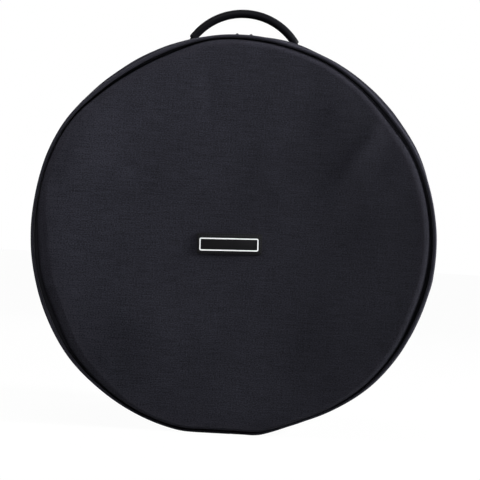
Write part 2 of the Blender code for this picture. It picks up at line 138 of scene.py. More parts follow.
# How far the front seam and the swell of the wall behind it leave a true circle, in millimetres,
# every 12 degrees up from the right. The photograph's view is turned by view_roll. The swell starts
# at swell_end_y and is full at swell_y. The base's end of the bag has back_share of both.
view_roll = math.radians(3.2)
seam_wander = (
    1.3, 0.0, -0.7, -3.5, -3.5, -2.4, -2.8, -1.8, -1.8, -3.9, -5.1, -3.4, 0.6, 0.6, -0.8,
    -0.6, -0.3, 0.7, 1.9, 0.8, 0.2, -0.6, -2.0, -1.4, -4.4, -1.5, 1.7, 2.3, 1.4, 2.2,
)
wall_swell = (
    1.2, 0.4, 1.7, 0.3, 0.0, -0.7, -0.5, -1.2, -1.4, -1.1, -1.4, -0.7, 0.6, 0.4, -0.8,
    -0.6, -0.3, 0.7, 1.7, 0.7, 0.2, -0.6, -2.0, -1.4, -4.0, -1.5, 1.6, 2.2, 2.8, 3.1,
)
millimetre = 0.001
swell_y = 0.2085
swell_end_y = 0.1640
back_share = 0.5
wander_fade = 6
press_blend = 0.0016
fine_steps = 300
sharp_angle = math.radians(38.0)
lid_joint_angle = math.radians(275.0) + view_roll
base_joint_angle = math.radians(262.0)


class Number:
    """A value that changes over a surface. Arithmetic on it adds Math nodes."""

    def __init__(self, network, socket):
        self.network = network
        self.socket = socket

    def __add__(self, other):
        return self.network.maths("ADD", self, other)

    def __sub__(self, other):
        return self.network.maths("SUBTRACT", self, other)

    def __rsub__(self, other):
        return self.network.maths("SUBTRACT", other, self)

    def __mul__(self, other):
        return self.network.maths("MULTIPLY", self, other)

    def __pow__(self, other):
        return self.network.maths("POWER", self, other)

    __radd__ = __add__
    __rmul__ = __mul__

    def floor(self):
        return self.network.maths("FLOOR", self)

    def fraction(self):
        return self.network.maths("FRACT", self)

    def clamped(self, low, high):
        return self.network.maths("MINIMUM", self.network.maths("MAXIMUM", self, low), high)


class Network:
    """The nodes of a material or of the world."""

    def __init__(self, tree):
        self.tree = tree

    def join(self, value, socket):
        if isinstance(value, Number):
            value = value.socket
        if isinstance(value, bpy.types.NodeSocket):
            self.tree.links.new(value, socket)
        else:
            socket.default_value = value

    def node(self, kind, settings=None, sockets=None):
        made = self.tree.nodes.new("ShaderNode" + kind)
        for key, value in (settings or {}).items():
            setattr(made, key, value)
        for key, value in (sockets or {}).items():
            self.join(value, made.inputs[key])
        return made

    def number(self, socket):
        return Number(self, socket)

    def maths(self, operation, *values):
        made = self.node("Math", {"operation": operation}, dict(enumerate(values)))
        return self.number(made.outputs[0])

    def looked_at(self):
        """1 for the camera's own rays, mirrored and bent ones too, and 0 for light's."""
        seen = self.node("LightPath").outputs
        straight = self.maths("MAXIMUM", seen["Is Camera Ray"], seen["Is Glossy Ray"])
        return self.maths("MAXIMUM", straight, seen["Is Transmission Ray"])


class Finish(Network):
    """One procedural material and the record's slot that it stands for."""

    def __init__(self, name, slot, colour, roughness, metallic=0.0, constants=None):
        self.slot = slot
        self.material = bpy.data.materials.new(name)
        self.material.use_nodes = True
        self.material.diffuse_color = (*colour, 1.0)
        super().__init__(self.material.node_tree)
        self.shader = self.tree.nodes["Principled BSDF"]
        self.colour = colour
        self.set("Base Color", (*colour, 1.0))
        self.set("Roughness", roughness)
        self.set("Metallic", metallic)
        for socket, value in (constants or {}).items():
            self.set(socket, value)

    def set(self, socket, value):
        self.join(value, self.shader.inputs[socket])

    def place(self, weave=False, turn=0.0, scale=1.0):
        """Where on the piece: its weave's own coordinates, or its place in the bag."""
        if weave:
            source = self.node("UVMap", {"uv_map": "weave"}).outputs["UV"]
        else:
            source = self.node("TexCoord").outputs["Object"]
        placed = self.node("Mapping", None, {
            "Vector": source, "Rotation": (0.0, 0.0, turn), "Scale": (scale, scale, scale),
        })
        return placed.outputs["Vector"]

    def split(self, vector):
        parts = self.node("SeparateXYZ", None, {"Vector": vector}).outputs
        return [self.number(part) for part in parts]

    def joined(self, x, y, z=0.0):
        return self.node("CombineXYZ", None, {"X": x, "Y": y, "Z": z}).outputs["Vector"]

    def grain(self, vector, scale, detail=2.0, roughness=0.5):
        """Smooth noise from 0 to 1."""
        made = self.node("TexNoise", None, {
            "Vector": vector, "Scale": scale, "Detail": detail, "Roughness": roughness,
        })
        return self.number(made.outputs["Fac"])

    def shade(self, factor):
        """Makes the colour lighter and darker by a factor round 1."""
        made = self.node("Mix", {"data_type": "RGBA", "blend_type": "MULTIPLY"}, {
            0: 1.0, 6: (*self.colour, 1.0), 7: self.joined(factor, factor, factor),
        })
        self.set("Base Color", made.outputs[2])

    def mix(self, factor, first, second):
        made = self.node("Mix", {"data_type": "RGBA"}, {0: factor, 6: first, 7: second})
        return made.outputs[2]

    def bump(self, height, distance):
        """Raises the surface by a height from 0 to 1, over a distance in metres."""
        sockets = {"Height": height, "Distance": distance, "Strength": 1.0}
        self.set("Normal", self.node("Bump", None, sockets).outputs["Normal"])

    def plain_weave(self, across, along):
        """Height of a plain weave with one yarn a unit each way: 0 in the gaps, 1 on a crown."""
        over = self.maths("FLOORED_MODULO", across.floor() + along.floor(), 2.0)
        warp = 1.0 - (across.fraction() * 2.0 - 1.0) ** 2.0
        weft = 1.0 - (along.fraction() * 2.0 - 1.0) ** 2.0
        warp_up = warp * (0.45 + 0.55 * weft)
        weft_up = weft * (0.45 + 0.55 * warp)
        return over * warp_up + (1.0 - over) * weft_up


def woven_cloth(name, slot, colour, yarn, roughness, bias=0.0, streak=0.9, painted_light_slope=0.0, constants=None):
    """A plain-woven bag cloth, with painted shade between its yarns and painted light across it."""
    cloth = Finish(name, slot, colour, roughness, constants=constants)
    weave = cloth.place(weave=True, turn=bias, scale=1.0 / yarn)
    across, along, _ = cloth.split(weave)
    height = cloth.plain_weave(across, along)
    weft_yarn = cloth.grain(cloth.joined(across * 0.03, along.floor() * 0.71), 1.0)
    warp_yarn = cloth.grain(cloth.joined(across.floor() * 0.83, along * 0.03, 7.0), 1.0)
    where = cloth.place()
    clouds = cloth.grain(where, 14.0, 3.0)
    # Painted light and shade across X: the cloth is paler towards the left and darker towards the
    # right.
    side = cloth.split(where)[0].clamped(-0.25, 0.25)
    slubs = cloth.grain(cloth.joined(across * 0.46, along * 0.78, 3.0), 1.0, 3.0, 0.75)
    uneven = 1.0 + (weft_yarn - 0.5) * streak * 0.8 + (warp_yarn - 0.5) * streak * 0.4
    uneven = (uneven + (slubs - 0.5) * streak * 3.2).clamped(0.3, 2.2)
    # The uneven yarns, slubs and faint clouds vary at random; the weave's height darkens the gaps
    # between yarns as painted shade.
    shade = uneven * (0.80 + clouds * 0.40) * (0.66 + height * 0.5) * (1.0 - side * painted_light_slope)
    cloth.shade(shade)
    cloth.set("Roughness", (roughness + 0.08) - height * 0.12)
    fibres = cloth.grain(weave, 5.0, 2.0)
    relief = height + fibres * 0.25 + (weft_yarn - 0.5) * 0.5
    cloth.bump(relief, yarn * 0.22)
    return cloth


def webbing_finish(name, slot, colour, yarn):
    """Flat webbing: yarns in slanting rows that turn back at each rib, with painted shade between
    them.
    """
    band = Finish(name, slot, colour, 0.66, constants={"Specular IOR Level": 0.06})
    across, along, _ = band.split(band.place(weave=True, scale=1.0 / yarn))
    fold = band.maths("PINGPONG", along, 2.0)
    slant = across + fold * 0.5
    ribs = 1.0 - (slant.fraction() * 2.0 - 1.0) ** 2.0
    rows = 1.0 - (along.fraction() * 2.0 - 1.0) ** 2.0
    height = ribs * (0.4 + 0.6 * rows)
    yarns = band.grain(band.joined(slant.floor() * 0.7, along.floor() * 0.9), 1.0)
    # Darker between the ribs and rows as painted shade; the yarns vary at random.
    band.shade((0.65 + height * 0.5) * (0.8 + yarns * 0.4))
    band.bump(height, yarn * 0.3)
    return band


def foam_finish():
    """Cut closed-cell foam: fine pits, darkened inside with painted shade."""
    foam = Finish("grey foam", "foam", (0.09, 0.09, 0.095), 0.9)
    cells = foam.node("TexVoronoi", None, {"Vector": foam.place(), "Scale": 900.0})
    pits = foam.number(cells.outputs["Distance"])
    # Painted shade in the pits.
    foam.shade(0.75 + pits * 0.5)
    foam.bump(pits, 0.0004)
    return foam


def fleece_finish():
    """Brushed lining: short fibres in loose tufts."""
    fleece = Finish("black fleece", "lining", (0.011, 0.011, 0.012), 0.95, constants={
        "Sheen Weight": 0.25, "Sheen Roughness": 0.6, "Specular IOR Level": 0.15,
    })
    where = fleece.place()
    tufts = fleece.grain(where, 420.0, 4.0, 0.7)
    brushed = fleece.grain(where, 24.0, 2.0)
    fleece.shade(0.55 + tufts * 0.6 + brushed * 0.3)
    fleece.bump(tufts, 0.0009)
    return fleece


def thread_finish():
    """Sewing thread: a twist of two plies."""
    thread = Finish("black thread", "cover", (0.016, 0.016, 0.019), 0.5, constants={
        "Specular IOR Level": 0.1,
    })
    where = thread.place()
    twist = thread.grain(where, 1800.0, 1.0)
    thread.shade(0.7 + twist * 0.6)
    thread.bump(twist, 0.0001)
    return thread


def coil_finish():
    """Nylon coil: smooth, a little worn on its crowns."""
    coil = Finish("zip coil nylon", "zip_coil", (0.009, 0.009, 0.010), 0.36, constants={
        "Specular IOR Level": 0.25,
    })
    rubbed = coil.grain(coil.place(), 160.0, 3.0)
    coil.shade(0.8 + rubbed * 0.4)
    coil.set("Roughness", 0.28 + rubbed * 0.2)
    coil.bump(rubbed, 0.00004)
    return coil


def rubber_finish(name, colour, roughness, gloss=0.05):
    """Moulded rubber with a fine grained skin and faint handling marks."""
    rubber = Finish(name, "rubber", colour, roughness, constants={"Specular IOR Level": gloss})
    where = rubber.place()
    skin = rubber.grain(where, 1500.0, 2.0)
    handled = rubber.grain(where, 55.0, 3.0)
    rubber.shade(0.86 + handled * 0.28)
    rubber.set("Roughness", (roughness - 0.1) + handled * 0.2)
    rubber.bump(skin, 0.00008)
    return rubber


def metal_finish():
    """Black-coated zinc, bare in fine specks where it is rubbed."""
    metal = Finish("black metal", "metal", (0.02, 0.02, 0.022), 0.36, 0.4)
    where = metal.place()
    rubbed = metal.grain(where, 380.0, 4.0, 0.7)
    bare = ((rubbed - 0.62) * 8.0).clamped(0.0, 1.0)
    metal.set("Base Color", metal.mix(bare, (0.02, 0.02, 0.022, 1.0), (0.32, 0.31, 0.3, 1.0)))
    metal.set("Metallic", 0.4 + bare * 0.6)
    metal.set("Roughness", 0.3 + rubbed * 0.2)
    metal.bump(rubbed, 0.00005)
    return metal


def curve_weights(share):
    """How much the near end, its slope, the far end and its slope count, a share of the way on."""
    s2 = share * share
    s3 = s2 * share
    return 2 * s3 - 3 * s2 + 1, s3 - 2 * s2 + share, 3 * s2 - 2 * s3, s3 - s2


def read_round(table, angle, side):
    """Reads a table of millimetres round the lid on a smooth closed curve, in metres.

    The base has the same curve as the lid, seen from its own side.
    """
    facing = angle if side < 0 else math.pi - angle
    count = len(table)
    place = (facing - view_roll) / (2 * math.pi) * count
    start = math.floor(place)
    before, here, ahead, beyond = (table[(start + k) % count] for k in (-1, 0, 1, 2))
    ends = (here, (ahead - before) / 2, ahead, (beyond - here) / 2)
    weights = curve_weights(place - start)
    return millimetre * sum(weight * end for weight, end in zip(weights, ends))


def eased(value, start, end):
    """0 before start, 1 after end, and a smooth rise between them."""
    share = min(1.0, max(0.0, (value - start) / (end - start)))
    return share * share * (3 - 2 * share)


def hump(distance, reach):
    """1 at no distance, falling to nothing at about twice the reach."""
    return math.exp(-((distance / reach) ** 2))


def spread(start, end, count):
    """Evenly spaced values from start to end."""
    return [start + (end - start) * k / (count - 1) for k in range(count)]


def near_turn(angle, facing):
    """An angle, counted so that it lies within half a turn of another one."""
    return angle + 2 * math.pi * round((facing - angle) / (2 * math.pi))


def polar(place):
    """The distance of a place from the drum's axis, and its angle up from the right."""
    return math.hypot(place.x, place.z), math.atan2(place.z, place.x)


def move_out(point, radius, moved):
    """Moves a point from one distance to another, seen along the drum's axis."""
    point.co.x *= moved / radius
    point.co.z *= moved / radius


def seam_offset(angle, y):
    """How far the bag's skin leaves a true circle at an angle and a depth."""
    height = abs(y)
    if height < swell_end_y:
        return 0.0
    seam = read_round(seam_wander, angle, y)
    swell = read_round(wall_swell, angle, y)
    near_seam = eased(height, swell_y, wall_seam)
    held = eased(height, swell_end_y, swell_y)
    share = 1.0 if y < 0 else back_share
    return share * (seam * near_seam + swell * (1 - near_seam)) * held


def settle(shape, wanders=True):
    """Lets the seams of a shape wander, and the floor press its bottom flat."""
    for point in shape.verts:
        radius, angle = polar(point.co)
        if radius < gap:
            continue
        moved = radius
        if wanders:
            moved += seam_offset(angle, point.co.y) * (radius / wall_radius) ** wander_fade
        down = -point.co.z / radius
        if down > 0.5:
            flat = pressed_share * radius / down
            blend = max(0.0, 1 - abs(flat - moved) / press_blend)
            moved = min(min(flat, moved) - blend * blend * press_blend / 4, axis_height / down)
        move_out(point, radius, moved)


def along_round(point, middle):
    """How far round the bag a point lies, on the same turn as the middle of its face."""
    return near_turn(polar(point)[1], polar(middle)[1]) * wall_radius


def across_weave(point, middle):
    """Weave coordinates straight across a panel."""
    return point.x, point.z


def round_weave(point, middle):
    """Weave coordinates round the bag."""
    return along_round(point, middle), point.y + polar(point)[0]


def lay_weave(shape, weave=round_weave):
    """Gives a shape its weave's coordinates, in metres."""
    layer = shape.loops.layers.uv.new("weave")
    for face in shape.faces:
        middle = face.calc_center_median()
        for loop in face.loops:
            loop[layer].uv = weave(loop.vert.co, middle)


def linked(name, shape):
    """An object of a shape, in the scene."""
    mesh = bpy.data.meshes.new(name)
    shape.to_mesh(mesh)
    shape.free()
    made = bpy.data.objects.new(name, mesh)
    bpy.context.scene.collection.objects.link(made)
    return made


def finish(name, shape, material, body, nodes=()):
    """Makes a piece of a shape that lies about the drum's axis, and lifts it there."""
    bmesh.ops.translate(shape, verts=shape.verts, vec=(0, 0, axis_height))
    piece = linked(name, shape)
    piece.data.shade_smooth()
    piece.data.set_sharp_from_angle(angle=sharp_angle)
    piece.data.materials.append(material.material)
    if body:
        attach(piece, body)
    if nodes:
        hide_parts(*nodes)
    return piece


def sewn(name, shape, cloth, body, nodes=(), weave=round_weave, wanders=True):
    """Makes a piece that is cut from a sheet, with its weave, and lets it settle."""
    lay_weave(shape, weave)
    settle(shape, wanders)
    return finish(name, shape, cloth, body, nodes)


def face_outwards(shape):
    bmesh.ops.recalc_face_normals(shape, faces=shape.faces)


def move(shape, matrix):
    bmesh.ops.transform(shape, matrix=matrix, verts=shape.verts)


def spun(profile, closed, sweep, steps, whole):
    """A profile turned about the drum's axis, from the bottom on."""
    shape = bmesh.new()
    points = [shape.verts.new((0, y, -radius)) for radius, y in profile]
    pairs = list(zip(points, points[1:]))
    if closed:
        pairs.append((points[-1], points[0]))
    edges = [shape.edges.new(pair) for pair in pairs]
    bmesh.ops.spin(
        shape, geom=points + edges, cent=(0, 0, 0), axis=(0, 1, 0), dvec=(0, 0, 0),
        angle=sweep, steps=steps, use_merge=whole,
    )
    return shape


def turned(profile, side=1, closed=True, steps=fine_steps):
    """A ring or disc turned about the drum's axis, on one side of the bag."""
    points = [(radius, side * y) for radius, y in profile]
    shape = spun(points, closed, 2 * math.pi, steps, whole=True)
    bmesh.ops.remove_doubles(shape, verts=shape.verts, dist=gap / 10)
    face_outwards(shape)
    return shape


def turned_arc(profile, start, sweep, steps):
    """Part of a ring with closed ends. Start and sweep are angles up from the bottom."""
    shape = spun(profile, True, sweep, steps, whole=False)
    ends = [edge for edge in shape.edges if edge.is_boundary]
    bmesh.ops.holes_fill(shape, edges=ends, sides=len(profile))
    move(shape, Matrix.Rotation(start, 4, "Y"))
    face_outwards(shape)
    return shape


def repeated(shape, start, sweep, count):
    """Repeats a shape round the drum's axis. Start and sweep are angles up from the bottom."""
    bmesh.ops.spin(
        shape, geom=shape.verts[:] + shape.edges[:] + shape.faces[:], cent=(0, 0, 0),
        axis=(0, 1, 0), dvec=(0, 0, 0), angle=sweep, steps=count, use_duplicate=True,
    )
    move(shape, Matrix.Rotation(start, 4, "Y"))


def sheet_outline(outer, inner, near, far, count):
    """The outline of a sheet that lies round the drum's axis."""
    high = [(outer, y) for y in spread(near, far, count)]
    return high + [(inner, y) for y in spread(far, near, count)]


def wrapped(shape, middle):
    """Bends a shape that was drawn flat round the bag, its middle that far round from the top."""
    for point in shape.verts:
        angle = (point.co.x + middle) / wall_radius
        radius = wall_radius + point.co.z
        point.co = (radius * math.sin(angle), point.co.y, radius * math.cos(angle))


# The height of the padded panels over the radius, as shares of the edge radius and of the rise
lid_rise = 0.0049
crown_edge = 0.5
lid_crown = (
    (0.0, 1.0), (0.3, 0.995), (0.52, 0.96), (0.7, 0.9), (0.8, 0.84), (0.9, 0.72), (1.0, crown_edge),
)
base_rise = 0.0030
base_crown = ((0.0, 1.0), (0.8, 1.0), (0.87, 0.94), (0.94, 0.8), (1.0, crown_edge))

# How wide the panel's roll into its seam, the groove and the cord in view are, in millimetres,
# every 12 degrees
roll_width = (
    8.0, 9.0, 10.0, 9.0, 9.0, 8.0, 8.0, 8.0, 9.0, 10.0, 10.0, 10.0, 8.0, 8.0, 9.0,
    13.0, 13.0, 12.0, 10.0, 8.0, 4.5, 3.2, 3.0, 3.0, 3.4, 4.6, 6.0, 7.0, 8.0, 8.0,
)
groove_width = (
    3.0, 2.6, 1.3, 2.8, 1.3, 1.0, 0.8, 0.9, 0.7, 3.4, 3.6, 2.2, 0.7, 0.4, 0.6,
    4.2, 4.2, 5.6, 3.2, 2.0, 1.2, 0.8, 0.6, 0.6, 0.7, 1.0, 1.0, 1.8, 3.2, 3.4,
)
cord_width = (
    3.7, 3.6, 4.4, 4.4, 4.4, 4.4, 4.4, 4.4, 4.0, 4.4, 4.4, 4.4, 4.2, 4.1, 3.9,
    3.7, 3.4, 4.0, 3.5, 3.0, 2.5, 2.5, 3.0, 2.5, 2.0, 2.5, 3.4, 3.9, 3.8, 4.0,
)
groove_floor = 0.2150
roll_start = 0.2000
roll_first_step = 0.0012
roll_power = 1.85
left_roll_power = 0.25
flange_thickness = 0.0004
flange_low = groove_floor - cover_thickness - gap - flange_thickness
flange_tuck = 0.0040

# Dents and swellings of the lid's cloth: X and Z from its middle, the lean of the long axis up from
# the right in degrees, half the length, half the width and the height, in millimetres
dents = (
    (140, 104, 52, 42, 11, 3.6), (161, 80, 50, 20, 8, -1.2), (80, 120, 80, 50, 26, -1.4),
    (113, 148, 50, 26, 20, 1.2), (-92, -108, 20, 50, 42, 3.4), (-175, 100, 60, 50, 26, 1.8),
    (-36, 165, 90, 32, 9, -0.8), (60, -140, 60, 42, 30, -1.2), (158, 8, 80, 42, 20, 0.6),
    (-60, 60, 20, 60, 20, 0.6),
)

# The uneven padding under the cloth of a panel: lumps a metre and their height, wide and fine ones
wide_lumps = (11, 0.0005)
fine_lumps = (34, 0.00012)
lumps_fade = 0.1960
lumps_end = 0.2190

# The badge's place on the lid, and how far round it the cloth is held flat
badge_across = -0.0031
badge_up = -0.0096
held_half_length = 0.0370
held_half_width = 0.0120
held_fade = 0.0160

# How the cloth solver fills the panels and the walls
cloth_settings = {
    "quality": 6, "mass": 0.2, "tension_stiffness": 30, "compression_stiffness": 30,
    "shear_stiffness": 20, "bending_stiffness": 0.5, "use_pressure": True,
}
cloth_steps = 20
slack_scale = 12
slack_spread = 0.9
panel_slack = 0.006
panel_pressure = 4.0
panel_cells = 64
panel_hold = 0.0090
wall_slack = 0.004
wall_pressure = 3.0
wall_row = 0.0100
wall_columns = 130
seam_hold = 0.0060
hem_hold = 0.0120
floor_hold_degrees = 162
handle_hold_degrees = (10, 36)
handle_hold_y = 0.0360
bulge_limit = 0.0014


def read_crown(table, share):
    """The height of a crown, a share of the way out."""
    for (near, near_rise), (far, far_rise) in zip(table, table[1:]):
        if share <= far:
            return near_rise + (far_rise - near_rise) * (share - near) / (far - near)
    return table[-1][1]


def seam_radius(angle, side):
    """Where the panel ends, beside the cord: the weight of the bag hides some of it low down."""
    return panel_seam_radius + 2 * piping_radius - read_round(cord_width, angle, side)


def groove_radius(angle, side):
    """Where the panel's cloth turns down beside the groove, and the flange shows as painted shade.
    """
    return seam_radius(angle, side) - read_round(groove_width, angle, side)


def panel_height(radius, angle, side, crown=None):
    """How far the padded panel stands out at a radius: a low crown that rolls into its seam."""
    table, rise = (lid_crown, lid_rise) if side < 0 else (base_crown, base_rise)
    if crown is None:
        crown = read_crown(table, min(1.0, radius / panel_seam_radius))
    height = inner_half + panel_edge_height + rise * crown
    width = read_round(roll_width, angle, side)
    in_roll = min(1.0, max(0.0, 1 - (groove_radius(angle, side) - radius) / width))
    power = roll_power - left_roll_power * max(0.0, side * math.cos(angle))
    fall = 1 - (1 - in_roll ** power) ** (1 / power)
    return height - (height - groove_floor) * fall


def swollen(shape, held, slack, pressure):
    """Lets a sheet of cloth fill out in the cloth solver, and returns where it comes to rest."""
    scene = bpy.context.scene
    draft = linked("draft cloth", shape)
    draft.vertex_groups.new(name="held").add(held, 1.0, "REPLACE")
    draft.shape_key_add(name="Basis")
    rest = draft.shape_key_add(name="rest")
    for point in rest.data:
        uneven = 1 + noise.noise(point.co * slack_scale) * slack_spread
        point.co = point.co * (1 + slack * uneven)
    cloth = draft.modifiers.new("cloth", "CLOTH")
    settings = cloth.settings
    for key, value in cloth_settings.items():
        setattr(settings, key, value)
    settings.uniform_pressure_force = pressure
    settings.effector_weights.gravity = 0.0
    settings.vertex_group_mass = "held"
    settings.rest_shape_key = rest
    cloth.collision_settings.use_collision = False
    cloth.point_cache.frame_start = 1
    cloth.point_cache.frame_end = cloth_steps
    for step in range(1, cloth_steps + 1):
        scene.frame_set(step)
    settled = draft.evaluated_get(bpy.context.evaluated_depsgraph_get()).data
    places = [point.co.copy() for point in settled.vertices]
    tree = BVHTree.FromPolygons(places, [tuple(face.vertices) for face in settled.polygons])
    bpy.data.objects.remove(draft)
    scene.frame_set(1)
    return tree, places


def crown_of(side):
    """The crown of a padded panel held at its wandering seam, as a share of its rise."""
    half = panel_seam_radius
    upright = Matrix.Rotation(math.pi / 2, 4, "X")
    shape = bmesh.new()
    bmesh.ops.create_grid(
        shape, x_segments=panel_cells, y_segments=panel_cells, size=half, matrix=upright,
    )
    far = [point for point in shape.verts if polar(point.co)[0] > half]
    bmesh.ops.delete(shape, geom=far, context="VERTS")
    shape.verts.index_update()
    held = []
    for point in shape.verts:
        radius, angle = polar(point.co)
        if radius > half - panel_hold:
            held.append(point.index)
        pull = read_round(seam_wander, angle, side) * (radius / half) ** 2
        point.co *= 1 + pull / max(radius, half / 10)
    if (shape.faces[:][0].normal.y > 0) == (side < 0):
        bmesh.ops.reverse_faces(shape, faces=shape.faces)
    tree, places = swollen(shape, held, panel_slack, panel_pressure)
    top = max(abs(place.y) for place in places)

    def crown(x, z):
        hit = tree.ray_cast(Vector((x, -half, z)), Vector((0, 1, 0)))[0]
        return crown_edge + (1 - crown_edge) * (abs(hit.y) / top if hit else 0.0)

    return crown


def relief(x, z):
    """How far dents and swellings move the lid's cloth."""
    moved = 0.0
    for middle_x, middle_z, lean, length, width, height in dents:
        turn = math.radians(lean)
        from_x, from_z = x / millimetre - middle_x, z / millimetre - middle_z
        along = from_x * math.cos(turn) + from_z * math.sin(turn)
        across = from_z * math.cos(turn) - from_x * math.sin(turn)
        moved += height * hump(along, length) * hump(across, width)
    return moved * millimetre


def under_badge(x, z):
    """1 under the badge, where it holds the cloth flat, and 0 well away from it."""
    across = abs(x - badge_across) - held_half_length
    up = abs(z - badge_up) - held_half_width
    return 1 - eased(max(across, up, 0.0), 0.0, held_fade)


def lumps(x, z, layer, size):
    """How far the padding lifts the cloth at a place. Each layer has lumps of its own."""
    a_metre, height = size
    return noise.noise(Vector((x * a_metre, layer, z * a_metre))) * height


def padded_panel(name, side, body, cloth, nodes):
    """The outer cloth of a round end: crowned over its foam, rolling down into the seam."""
    radii = spread(0.0, roll_start, 40)
    radii += spread(roll_start + roll_first_step, panel_seam_radius, 34)
    shape = turned([(radius, 0.0) for radius in radii], closed=False)
    crown = crown_of(side)
    for point in shape.verts:
        x, z = point.co.x, point.co.z
        radius, angle = polar(point.co)
        if radius > roll_start:
            share = (radius - roll_start) / (panel_seam_radius - roll_start)
            stretched = roll_start + share * (groove_radius(angle, side) + gap - roll_start)
            move_out(point, radius, stretched)
            radius = stretched
        height = panel_height(radius, angle, side, crown(x, z) if crown else None)
        uneven = lumps(x, z, side * 3.0, wide_lumps) + lumps(x, z, side * 5.0, fine_lumps)
        if side < 0:
            uneven = (uneven + relief(x, z)) * (1 - under_badge(x, z))
        height += uneven * (1 - eased(radius, lumps_fade, lumps_end))
        point.co.y = side * height
    lay_weave(shape, across_weave)
    face_outwards(shape)
    towards = sum(face.normal.y for face in shape.faces)
    if towards * side < 0:
        bmesh.ops.reverse_faces(shape, faces=shape.faces)
    settle(shape)
    piece = finish(name, shape, cloth, body, nodes)
    thick = piece.modifiers.new("thickness", "SOLIDIFY")
    thick.thickness = cover_thickness
    thick.offset = -1.0


def wall_bulge(side, hem):
    """How far the cloth of a side wall fills out, held at its seam, hem, floor and handle."""
    rows = spread(wall_seam, hem, round((wall_seam - hem) / wall_row))
    shape = turned([(wall_radius, y) for y in rows], side, closed=False, steps=wall_columns)
    shape.verts.index_update()
    held = []
    near, far = handle_hold_degrees
    for point in shape.verts:
        from_top = abs(math.degrees(math.atan2(point.co.x, point.co.z)))
        along = point.co.y * side
        by_handle = near < from_top < far and abs(point.co.y) < handle_hold_y
        by_edge = along > wall_seam - seam_hold or along < hem + hem_hold
        if by_edge or by_handle or from_top > floor_hold_degrees:
            held.append(point.index)
    outward = sum(face.normal.dot(face.calc_center_median()) for face in shape.faces)
    if outward < 0:
        bmesh.ops.reverse_faces(shape, faces=shape.faces)
    tree, _ = swollen(shape, held, wall_slack, wall_pressure)

    def bulge(angle, y):
        hit = tree.ray_cast(Vector((0, y, 0)), Vector((math.cos(angle), 0, math.sin(angle))))
        return bulge_limit * math.tanh((hit[3] - wall_radius) / bulge_limit) if hit[0] else 0.0

    return bulge


# How far the seam draws the wall's cloth in, and the ripple behind it: waves a metre, height, and
# how many of its waves lie across for one round the bag
seam_draw = 0.0017
seam_draw_reach = 0.0080
ripple_waves = 34
ripple_across = 0.6
ripple_height = 0.0009


def wall_skin(name, side, hem, body, cloth, nodes):
    """The outer cloth of a side wall, from its seam to its rounded hem by the zip."""
    bulge = wall_bulge(side, hem)
    half = (wall_radius - cover_inner) / 2
    turn = [math.pi * k / 6 for k in range(1, 6)]
    points = [(wall_radius, y) for y in spread(wall_seam, hem + half, 30)]
    points += [
        (cover_inner + half + half * math.cos(a), hem + half - half * math.sin(a)) for a in turn
    ]
    points += [(cover_inner, y) for y in spread(hem + half, wall_seam, 10)]
    shape = turned(points, side)
    lay_weave(shape)
    for point in shape.verts:
        x, y, z = point.co
        radius, angle = polar(point.co)
        moved = radius - seam_draw * eased(abs(y), wall_seam - seam_draw_reach, wall_seam)
        ripple = noise.noise(Vector((x, y * ripple_across, z)) * ripple_waves) * ripple_height
        moved += ripple * eased(abs(y), swell_end_y, swell_y)
        if bulge:
            moved += bulge(angle, y)
        move_out(point, radius, moved)
    settle(shape)
    piece = finish(name, shape, cloth, body, nodes)


# The cord of the piping: the knot where its ends meet, with a pinch in its middle, the lap of its
# cloth beside the knot, and its lumps. Reaches along the cord, and shares of its thickness.
cord_sides = 14
knot_reach = 0.0028
knot_share = 0.28
pinch_reach = 0.0007
pinch_share = 0.3
lap_start = 0.0020
lap_end = 0.0240
lap_edge = 0.0020
lap_share = 0.10
cord_lumps = 9
lumps_share = 0.07


def cord_turn(place):
    """The angle of a place round the cord's own middle."""
    return math.atan2(abs(place.y) - piping_y, polar(place)[0] - piping_centre)


def cord_weave(point, middle):
    """Weave coordinates along the cord and round it."""
    turn = near_turn(cord_turn(point), cord_turn(middle))
    return along_round(point, middle), turn * piping_radius


def cord_share(angle, side, joint_angle):
    """How thick the cord is at an angle, as a share of its even thickness."""
    before = ((joint_angle - angle + math.pi) % (2 * math.pi) - math.pi) * wall_radius
    knot = hump(before, knot_reach) * knot_share - hump(before, pinch_reach) * pinch_share
    lap = eased(before, lap_start, lap_start + lap_edge)
    lap *= 1 - eased(before, lap_end, lap_end + lap_edge)
    across, up = cord_lumps * math.cos(angle), cord_lumps * math.sin(angle)
    uneven = noise.noise(Vector((across, up, side * 2.0)))
    return 1 + knot - lap * lap_share + uneven * lumps_share


def piping(name, side, body, cloth, nodes, joint_angle):
    """The corded seam. Where less of it shows low down, it is thinner."""
    ring = [2 * math.pi * k / cord_sides for k in range(cord_sides)]
    profile = [
        (piping_centre + piping_radius * math.cos(a), piping_y + piping_radius * math.sin(a))
        for a in ring
    ]
    shape = turned(profile, side, steps=2 * fine_steps)
    lay_weave(shape, cord_weave)
    for point in shape.verts:
        radius, angle = polar(point.co)
        shown = read_round(cord_width, angle, side) / (2 * piping_radius)
        size = shown * cord_share(angle, side, joint_angle)
        out = piping_y - piping_radius * (1 - shown)
        point.co.y = side * (out + (abs(point.co.y) - piping_y) * size)
        moved = wall_radius - piping_radius * shown + (radius - piping_centre) * size
        move_out(point, radius, moved)
    settle(shape)
    finish(name, shape, cloth, body, nodes)


def seam_flange_painted_shade(name, side, body, cloth):
    """The flange of the piping, sewn in between the panel and the wall, and seen in the groove."""
    # Its cloth is darker than the cover's, as painted shade in the groove.
    high = flange_low + flange_thickness
    outer, inner = 1.0, 0.5  # Radii that only tell the two edges apart until they are placed
    profile = [(outer, high), (outer, flange_low), (inner, flange_low), (inner, high)]
    shape = turned(profile, side)
    for point in shape.verts:
        radius, angle = polar(point.co)
        if radius > (outer + inner) / 2:
            reach = seam_radius(angle, side) + gap
        else:
            reach = groove_radius(angle, side) - flange_tuck
        point.co.x = reach * math.cos(angle)
        point.co.z = reach * math.sin(angle)
    sewn(name, shape, cloth, body)


